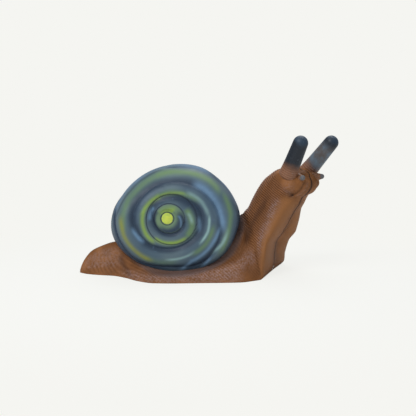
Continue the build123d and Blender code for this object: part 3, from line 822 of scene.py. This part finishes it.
def brushed(turned, reach, strokes):
    """Strength of the strokes of one colour at some places on the shell's side."""
    value = np.zeros_like(turned)
    for wide, strong, *points in strokes:
        turns, reaches = zip(*points)
        start = (turns[0] - stroke_end, turns[0] + stroke_end)
        finish = (turns[-1] - stroke_end, turns[-1] + stroke_end)
        for lap in (-1, 0, 1):
            place = turned + lap
            across = bump(reach - np.interp(place, turns, reaches), wide)
            value = np.maximum(value, strong * across * window(place, *start, *finish))
    return value


def round_curve(shares, turn):
    """Smooth closed curve through evenly spaced shares, at a place in turns."""
    ring = np.array(shares)
    place = np.mod(turn, 1.0) * len(ring)
    at = np.floor(place).astype(int)
    return smooth_between(*(ring[(at + k) % len(ring)] for k in (-1, 0, 1, 2)), place - at)


def along_spiral(shares, turn):
    """Value of a spiral table at a number of turns, from an eighth of a turn before zero."""
    table = np.array(shares)[:, None]
    keys = np.arange(len(shares)) * table_turn - table_turn
    return between_rows(keys, table, np.clip(turn, keys[0], keys[-1]))[:, 0]


def shell_dome(level, angle):
    """Side view place of the dome's plain surface at a level and an angle."""
    table = np.array(level_shares)
    reach = between_rows(table[:, 0], table[:, 1:], level)
    reach_x = np.where(np.cos(angle) > 0, reach[:, 0], reach[:, 1]) * shell_length / 2
    reach_z = np.where(np.sin(angle) > 0, reach[:, 2], reach[:, 3]) * shell_height / 2
    share = round_curve(outline_shares, angle / math.tau)
    x = shell_centre_x + share * reach_x * np.cos(angle)
    return x, shell_centre_z + share * reach_z * np.sin(angle)


def shell_levels(row):
    """Level of the dome at a row of its grid, and how far the row is over the flat crown."""
    profile = np.linspace(0.0, 1.0, profile_steps)
    mean_x, mean_z = shell_dome(profile, np.full(profile_steps, math.pi / 4))
    mean_reach = np.hypot(mean_x - shell_centre_x, mean_z - shell_centre_z)
    steps = np.hypot(np.diff(profile * shell_half_thickness), np.diff(mean_reach))
    arc = np.concatenate([[0.0], np.cumsum(steps)])
    total = arc[-1] + mean_reach[-1] - button_radius
    way = np.clip((row - lip_rows) / (shell_rows - lip_rows - seat_rows), 0.0, 1.0) * total
    crown = np.clip((way - arc[-1]) / (total - arc[-1]), 0.0, 1.0)
    return np.interp(way, arc, profile), crown


def from_apex(x, z, along=0.0, up=0.0):
    """Distance in the side view from the apex, or from a point beside it."""
    return np.hypot(x - apex_x - along, z - apex_z - up)


def bearing(x, z):
    """Direction from the apex in the side view, in turns from the head side upwards."""
    return np.arctan2(z - apex_z, x - apex_x) / math.tau


def across_whorl(reach, inner, crest, outer):
    """0 in the inner groove, 0.5 on the crest and 1 in the outer groove."""
    rising = (reach - inner) / np.maximum(crest - inner, crest_margin_share)
    falling = (reach - crest) / np.maximum(outer - crest, crest_margin_share)
    return np.clip(np.where(reach < crest, 0.5 * rising, 0.5 + 0.5 * falling), 0.0, 1.0)


def whorl_place(x, z):
    """Share across the whorl, turns wound so far and width of the whorl at a side view place."""
    reach = from_apex(x, z) / (shell_length / 2)
    turn = np.mod(table_turn - bearing(x, z), 1.0) - table_turn
    fade = soft_step(turn, *core_fade_turns)
    first_end = along_spiral(groove_shares, turn)
    second_end = along_spiral(groove_shares, turn + 1)
    width = fade * first_end + (1 - fade) * second_end
    share = across_whorl(reach, np.zeros_like(reach), crest_start_share, width)
    wound = turn - 1
    for lap in range(whorl_laps):
        inner = along_spiral(groove_shares, turn + lap)
        outer = along_spiral(groove_shares, turn + lap + 1)
        outer = np.where(outer > inner + least_whorl_share, outer, inner + open_whorl_share)
        crest = along_spiral(crest_shares, turn + lap)
        crest = np.clip(crest, inner + least_whorl_share, outer - crest_margin_share)
        here = across_whorl(reach, inner, crest, outer)
        spread = outer - inner
        if lap == 0:
            core = across_whorl(reach, np.zeros_like(reach), crest_start_share, outer)
            here = fade * here + (1 - fade) * core
            spread = fade * spread + (1 - fade) * outer
        inside = reach >= inner
        share = np.where(inside, here, share)
        wound = np.where(inside, turn + lap, wound)
        width = np.where(inside, spread, width)
    return share, wound, width * shell_length / 2


def ring_line(x, z, ring):
    """1 on an engraved ring of the shell's side and 0 away from it."""
    return bump(from_apex(x, z, *ring[:2]) - ring[2], ring_width)


def shell_relief(x, z, level):
    """Height of the whorls and the apex over the plain dome, the place across the whorl and
    the engraved rings."""
    share, wound, width = whorl_place(x, z)
    rise = whorl_rise_share * width / 2 * (4 * share * (1 - share)) ** whorl_power
    by_rim = rim_shallow_share * (1 - soft_step(level, *rim_shallow_levels))
    by_end = end_shallow_share * soft_step(wound, *end_shallow_turns)
    shallow = np.maximum(by_rim, by_end)
    rise = (1 - shallow) * rise + shallow * rim_rise
    rings = np.maximum(ring_line(x, z, small_ring), ring_line(x, z, large_ring))
    rings = np.maximum(rings, ring_line(x, z, button_ring))
    distance = from_apex(x, z)
    nucleus = 1 - soft_step(distance, nucleus_radius - nucleus_slope, nucleus_radius + nucleus_slope)
    rise = (1 - nucleus) * rise + nucleus * nucleus_height - ring_depth * rings
    return rise * soft_step(level, *plain_rim_levels), share, rings


def shell_values(x, z, level, share, rings):
    """Numbers for the shell's paint at some places on its side."""
    distance = from_apex(x, z)
    turned = np.mod(-bearing(x, z), 1.0)
    core = 1 - soft_step(from_apex(x, z, *small_ring[:2]), *core_edge)
    towards_dusk = np.cos(math.tau * (turned - dusk_turn))
    dusk = core * soft_step(distance, *dusk_reach) * soft_step(towards_dusk, *dusk_fade)
    rim_crest = rim_crest_share * (1 - soft_step(level, *rim_crest_levels))
    crest = np.maximum(1 - np.abs(2 * share - 1), rim_crest)
    values = {"crest": crest, "line": rings, "core": core, "dusk": dusk}
    for name, (colour, strokes) in stroke_kinds.items():
        values[name] = brushed(turned, distance / (shell_length / 2), strokes)
    return values


def shell_half(side):
    """Mesh of one half of the shell, on the left for side 1 and on the right for -1."""
    mesh, u, v, rank = ordered_grid("shell_half", shell_columns, shell_rows)
    angle = math.tau * u
    row = np.rint(v * shell_rows)
    level, crown = shell_levels(row)
    x, z = shell_dome(level, angle)
    seat = button_radius + button_gap
    x = (1 - crown) * x + crown * (apex_x + seat * np.cos(angle))
    z = (1 - crown) * z + crown * (apex_z + seat * np.sin(angle))
    depth = np.maximum(level * shell_half_thickness, seam_half_gap)
    places = np.stack([x, side * depth, z], axis=-1)
    normal = outward(places, shell_columns, shell_rows) * -side
    rise, share, rings = shell_relief(x, z, level)
    places = places + normal * rise[:, None]
    for edge_row, reach_in in ((0, rim_lip), (1, seam_half_gap / 2)):
        edge = row == edge_row
        places[edge, 0] = (x - reach_in * np.cos(angle))[edge]
        places[edge, 1] = side * seam_half_gap
        places[edge, 2] = (z - reach_in * np.sin(angle))[edge]
    wall = row > shell_rows - seat_rows
    floor_share = np.clip((shell_rows - row) / floor_rows, 0.0, 1.0)
    places[wall, 0] = (apex_x + seat * floor_share * np.cos(angle))[wall]
    places[wall, 1] = side * (shell_half_thickness + button_seat)
    places[wall, 2] = (apex_z + seat * floor_share * np.sin(angle))[wall]
    set_places(mesh, places[rank])
    add_values(mesh, shell_values(x, z, level, share, rings), rank)
    return mesh


low_blue = (0.052, 0.086, 0.120)
high_blue = (0.088, 0.128, 0.150)
groove_navy = (0.022, 0.040, 0.066)
core_green = (0.130, 0.200, 0.110)
dusk_navy = (0.024, 0.043, 0.072)
line_navy = (0.012, 0.020, 0.034)
whorl_paint, whorl = new_paint("whorl_paint")
cloudy = whorl.speckle(17.0, 3.0)
grainy = whorl.speckle(85.0, 4.0, 0.6)
patchy = whorl.speckle(9.0, 2.0)
crest = whorl.value("crest") + (cloudy - 0.5) * 0.25 + (grainy - 0.5) * 0.1
coat = patchy.band(0.35, 0.65).mix(low_blue, high_blue)
coat = crest.band(0.60, 0.06).mix(coat, groove_navy)
coat = (whorl.value("core") * (cloudy * 0.8 + 0.5)).cover(coat, core_green)
coat = (whorl.value("dusk") * (cloudy * 0.5 + 0.72)).cover(coat, dusk_navy)
stroke_grain = cloudy * 0.5 + grainy * 0.6 + 0.42
for name, (colour, strokes) in stroke_kinds.items():
    coat = (whorl.value(name) * stroke_grain).cover(coat, colour)
coat = (grainy.band(0.62, 0.82) * 0.25).mix(coat, light_blue)
coat = whorl.value("line").cover(coat, line_navy)
whorl_sockets = {"Base Color": coat, "Roughness": 0.38 + grainy * 0.25, "Specular IOR Level": 0.3}
set_sockets(whorl_paint, whorl_sockets | {"Normal": grainy.relief(0.4, 0.0006)})
for side, word in sides:
    node = "shell_" + word + "_half"
    add_piece("shell_skin_" + word, shell_half(side), whorl_paint, "shell_paint", node)

# The tentacles. The real ones are cast with the head, so the skin runs up their roots: a
# long upper pair, dark to half its length, and a short lower pair with grey blunt ends.
# Each is one skin round a straight axis, with a root that flares into the head.
upper_pair = {
    "base": (0.195, 0.040, 0.212),
    "tip": (0.236, 0.048, 0.272),
    "radii": (0.0175, 0.0150),
    "root": 0.020,
    "flare": 0.0015,
}
lower_pair = {
    "base": (0.212, 0.026, 0.201),
    "tip": (0.228, 0.031, 0.203),
    "radii": (0.0110, 0.0052),
    "root": 0.010,
    "flare": 0.001,
}
right_slip = 0.003
tentacle_columns = 96
tentacle_rows = 110
flare_share = 0.35
rib_fade_shares = (0.1, 0.45)
finger_rib_share = 0.6
root_end_share = 0.45
root_full_share = 0.15
root_close = (-0.001, 0.004)
faded_span = (0.1, 0.4, 0.75, 1.05)
last_way = 1.2


def finger(form, side):
    """Mesh of a tapered finger with a flared root and a round tip."""
    mesh, u, v = new_grid("finger", tentacle_columns, tentacle_rows)
    ends = []
    for s, across, z in (form["base"], form["tip"]):
        x, y = plan_place(np.array(s - right_slip * (side < 0)), side * across)
        ends.append(Vector((float(x), float(y), z)))
    axis = ends[1] - ends[0]
    length = axis.length
    turn = axis.to_track_quat("Z", "X").to_matrix()
    wide, thin = form["radii"]
    root = form["root"]
    way = v * (length + root + thin) - root
    radius = wide + (thin - wide) * np.clip(way / length, 0.0, 1.0)
    radius += form["flare"] * (1 - soft_step(way, -root, flare_share * length))
    past = np.clip((way - length) / thin, 0.0, 1.0)
    radius *= np.sqrt(1 - past**2)
    ribs = 1 - soft_step(way, rib_fade_shares[0] * length, rib_fade_shares[1] * length)
    wave = 0.5 + 0.5 * np.cos(math.tau * way / rib_pitch)
    radius += (wave - 0.5) * rib_depth * finger_rib_share * ribs * (way > rib_pitch - root)
    radius *= root_end_share + (1 - root_end_share) * soft_step(way, -root, -root_full_share * root)
    radius *= soft_step(v, *root_close)
    angle = math.tau * u
    local = np.stack([radius * np.cos(angle), radius * np.sin(angle), way], axis=-1)
    set_places(mesh, local @ np.array(turn).T + np.array(ends[0]))
    faded = (side > 0) * window(way / length, *faded_span)
    add_values(mesh, {"way": np.clip(way / length, 0.0, last_way), "rib": wave * ribs, "faded": faded})
    return mesh


root_brown = (0.175, 0.070, 0.030)
root_drybrush_and_highlight = (0.30, 0.155, 0.10)
tip_black = (0.011, 0.014, 0.020)
end_blue = (0.024, 0.042, 0.066)
faded_brown = (0.125, 0.105, 0.095)
faded_blue = (0.120, 0.155, 0.190)
grit_grey = (0.15, 0.165, 0.19)
tip_paint, tips = new_paint("tentacle_paint")
mist = tips.speckle(48.0)
grit = tips.speckle(240.0, 3.0)
reach = tips.value("way") + (mist - 0.5) * 0.35
# Lighter on the crests of the root's ribs: partly dry-brushed paint, partly painted highlight.
coat = (tips.value("rib") * 0.45).mix(root_brown, root_drybrush_and_highlight)
coat = reach.band(0.12, 0.46).mix(coat, tip_black)
coat = reach.band(0.96, 1.16).mix(coat, end_blue)
faded = mist.band(0.35, 0.6).mix(faded_brown, faded_blue)
coat = (tips.value("faded") * (mist * 0.9 + 0.3)).cover(coat, faded)
coat = (grit.band(0.58, 0.80) * 0.3 * mist.band(0.4, 0.6)).mix(coat, grit_grey)
tip_sockets = {"Base Color": coat, "Roughness": 0.36 + grit * 0.25, "Specular IOR Level": 0.3}
set_sockets(tip_paint, tip_sockets | {"Normal": grit.relief(0.3, 0.0005)})

feeler_brown = (0.19, 0.078, 0.032)
feeler_grey = (0.105, 0.098, 0.100)
feeler_paint, feelers = new_paint("feeler_paint")
dust = feelers.speckle(160.0, 3.0)
reach = feelers.value("way") + (dust - 0.5) * 0.3
coat = reach.band(0.82, 1.05).mix(feeler_brown, feeler_grey)
set_sockets(feeler_paint, {"Base Color": coat, "Roughness": 0.5 + dust * 0.2})
for side, word in sides:
    name = "upper_tentacle_" + word
    add_piece(name + "_skin", finger(upper_pair, side), tip_paint, "tentacle_paint", name)
    name = "lower_tentacle_" + word
    add_piece(name + "_skin", finger(lower_pair, side), feeler_paint, "body_skin", name)

# The plain parts that keep their solids: the yellow discs at the apex, the filler round the
# shell's rim, and the sole plate, screws and dowels, which are under the foot or inside.
yellows = (0.50, 0.56, 0.06), (0.36, 0.46, 0.07)
greys = (0.020, 0.019, 0.019), (0.060, 0.056, 0.054)
steels = (0.36, 0.37, 0.39), (0.56, 0.57, 0.59)
woods = (0.30, 0.17, 0.075), (0.46, 0.29, 0.14)
yellow_paint = speckled_paint("disc_yellow", (120.0, 4.0), yellows, (0.4, 0.2), band=(0.35, 0.7))
sole_paint = speckled_paint("sole_grey", (40.0, 5.0, 0.6), greys, (0.55, 0.25))
steel_paint = speckled_paint("screw_steel", (220.0, 3.0), steels, (0.28, 0.2), metal=1.0)
wood_paint = speckled_paint("pin_wood", (90.0, 5.0, 0.65), woods, (0.6, 0.2), band=(0.3, 0.7))
plain_nodes = {
    "apex_button_right": yellow_paint,
    "apex_button_left": yellow_paint,
    "shell_seam_bead": filler_paint,
    "sole_plate": sole_paint,
    "sole_screws": steel_paint,
    "shell_screws": steel_paint,
    "body_dowels": wood_paint,
    "shell_dowels": wood_paint,
}
for name, paint in plain_nodes.items():
    for made in [o for o in bpy.data.objects if o.type == "MESH" and o.name == name]:
        made.data.materials.clear()
        made.data.materials.append(paint)

# The camera stands where the photograph was taken from, a little behind the middle of the
# snail's right flank and a little above it. The floor is a plain pale sheet.
camera_lens = 56.25
camera_place = (-0.0955, -1.3661, 0.2911)
camera_tilt = 6.55
camera_turn = -4.0
background = (0.913, 0.913, 0.88)
floor_white = (0.86, 0.86, 0.83, 1.0)
floor_half_width = 6.0
floor_glow = (0.88, 0.12)
glow_reach = (0.3, 0.75)
sky_blue = (0.80, 0.86, 0.95)
sky_strength = 0.55
lamp_white = (0.95, 0.98, 1.0)
lamp_aim = (0, 0, 0.1)

camera_data = bpy.data.cameras.new("camera")
camera_data.lens = camera_lens
camera = new_object("camera", camera_data)
camera.location = camera_place
camera.rotation_euler = Euler((math.radians(90 - camera_tilt), 0, math.radians(camera_turn)))
bpy.context.scene.camera = camera

floor_paint, plain = new_paint("pale_floor")
set_sockets(floor_paint, {"Base Color": floor_white, "Roughness": 1.0})
seen = plain.node("ShaderNodeLightPath", {}, {}, out="Is Camera Ray")
spot = plain.node("ShaderNodeTexCoord", {}, {}, out="Object")
far_off = plain.node("ShaderNodeVectorMath", {"operation": "LENGTH"}, {0: spot}, out="Value")
glow_share = seen * (far_off.band(*glow_reach) * floor_glow[1] + floor_glow[0])
glow = plain.node("ShaderNodeEmission", {}, {"Color": background, "Strength": 1.0})
shaded = Wire(plain.tree, plain.tree.nodes["Principled BSDF"].outputs[0])
blend = plain.node("ShaderNodeMixShader", {}, {0: glow_share, 1: shaded, 2: glow})
plain.tree.links.new(blend.socket, plain.tree.nodes["Material Output"].inputs[0])
ground_sheet = bmesh.new()
bmesh.ops.create_grid(ground_sheet, x_segments=1, y_segments=1, size=floor_half_width)
ground_mesh = bpy.data.meshes.new("floor")
ground_sheet.to_mesh(ground_mesh)
ground_sheet.free()
ground_mesh.materials.append(floor_paint)
floor = new_object("floor", ground_mesh)

world = bpy.data.worlds.new("studio")
world.use_nodes = True
bpy.context.scene.world = world
sky = Wire(world.node_tree, None)
sky_out = world.node_tree.nodes["World Output"].inputs[0]
sky_seen = sky.node("ShaderNodeLightPath", {}, {}, out="Is Camera Ray")
sky_lit = sky.node("ShaderNodeBackground", {}, {"Color": sky_blue, "Strength": sky_strength})
sky_white = sky.node("ShaderNodeBackground", {}, {"Color": background, "Strength": 1.0})
sky_both = sky.node("ShaderNodeMixShader", {}, {0: sky_seen, 1: sky_lit, 2: sky_white})
sky.tree.links.new(sky_both.socket, sky_out)


def add_lamp(name, place, size, power):
    """Soft square lamp at a place, turned to face the snail."""
    data = bpy.data.lights.new(name, "AREA")
    data.size = size
    data.energy = power
    data.color = lamp_white
    lamp = new_object(name, data)
    lamp.location = place
    lamp.rotation_euler = (Vector(lamp_aim) - Vector(place)).to_track_quat("-Z", "Y").to_euler()


add_lamp("key_lamp", (-0.9, -1.2, 1.5), 0.9, 26.0)
add_lamp("top_lamp", (0.4, 0.6, 1.8), 1.2, 16.0)

bpy.context.scene.view_settings.view_transform = "Standard"
